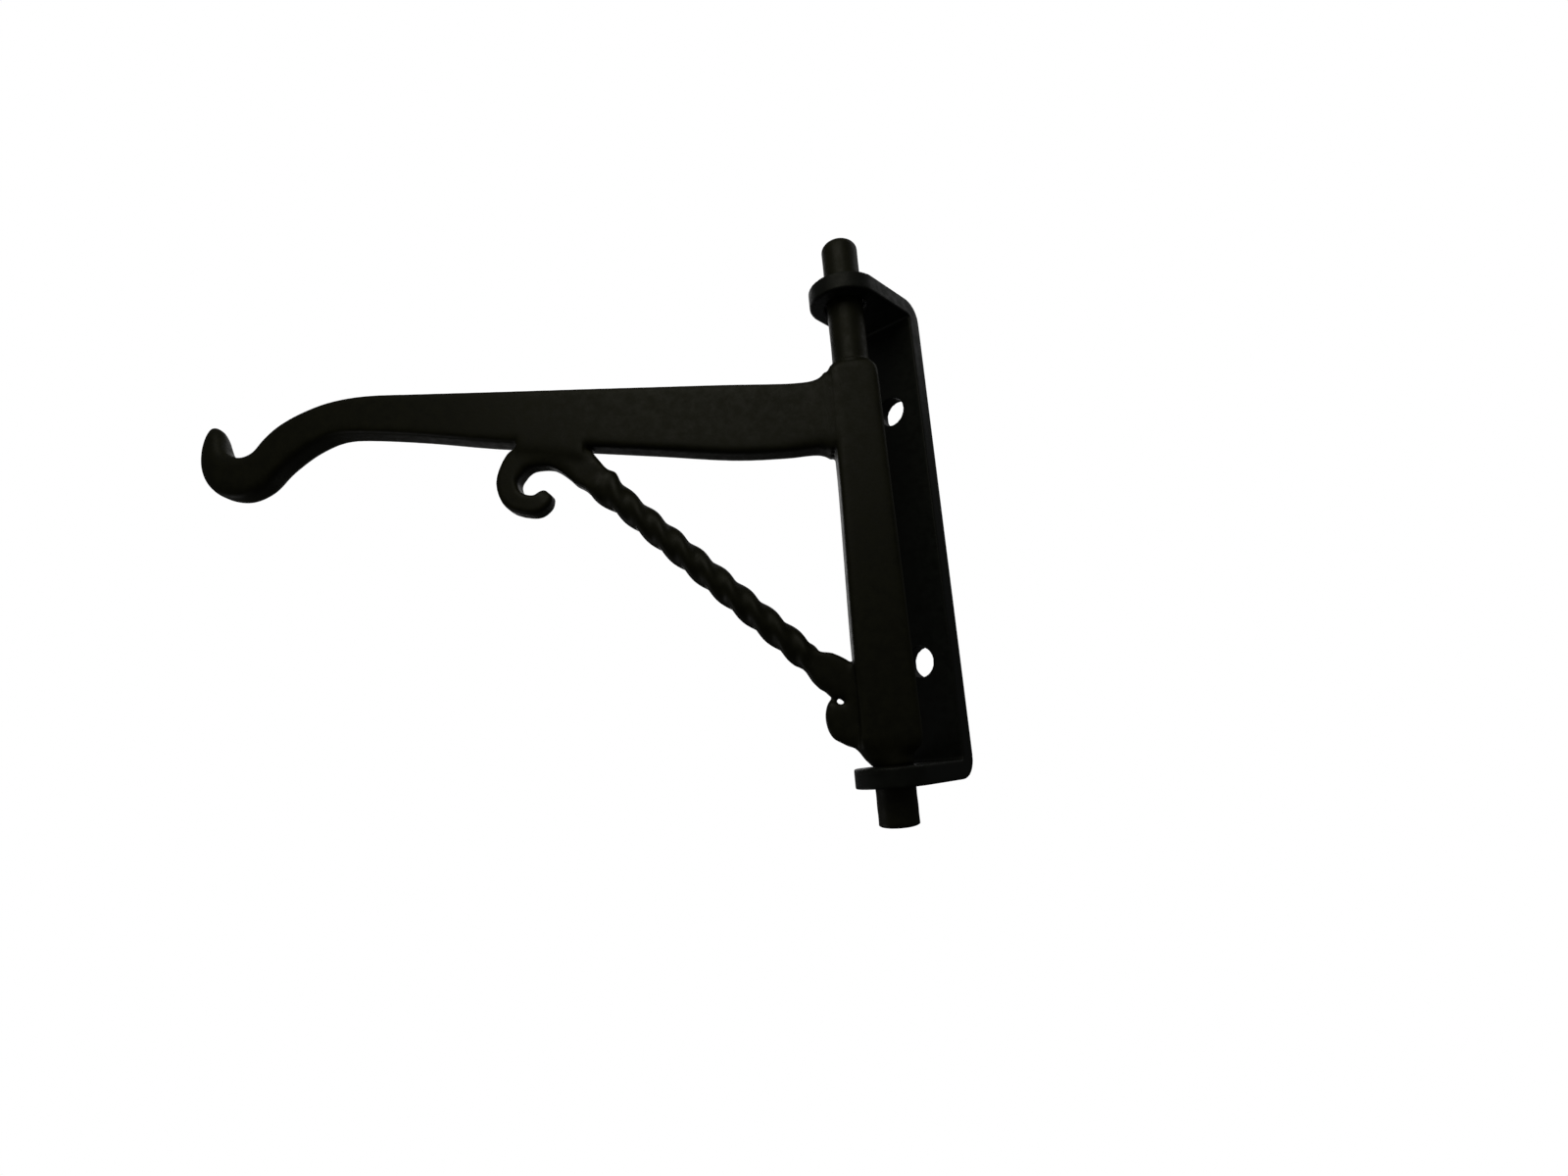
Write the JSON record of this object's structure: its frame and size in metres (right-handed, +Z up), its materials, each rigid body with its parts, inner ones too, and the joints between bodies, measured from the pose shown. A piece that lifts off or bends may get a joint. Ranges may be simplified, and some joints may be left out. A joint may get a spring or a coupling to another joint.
{
  "type": "swing arm hook bracket",
  "caption": "Lift-off wrought swing arm with an upturned hook, a twisted scroll brace and round pins that turn in the ears of a bent wall plate.",
  "frame": {"origin": "centre of the wall plate's back face, midway between the two screw holes", "axes": "+Z up along the pivot axis, +Y into the wall; the object stands out towards -Y and the arm reaches towards -X and -Y"},
  "size_m": [0.1202, 0.1131, 0.1302],
  "materials": {
    "plate_paint": "satin black paint",
    "arm_paint": "satin black paint"
  },
  "bodies": {
    "wall_plate": {"wall_plate": "plate_paint"},
    "pivot_pins": {"upper_pin": "arm_paint", "lower_pin": "arm_paint"},
    "swing_arm": {"spine_bar": "arm_paint", "hook_arm": "arm_paint", "scroll_brace": "arm_paint"}
  },
  "joints": [
    {"name": "lift", "type": "slide", "parent": "wall_plate", "child": "pivot_pins", "axis": [0, 0, 1], "range_m": [0, 0.0144]},
    {"name": "swing", "type": "hinge", "parent": "pivot_pins", "child": "swing_arm", "pos_m": [0, -0.0184, 0], "axis": [0, 0, 1], "range_deg": [-46, 146]}
  ]
}
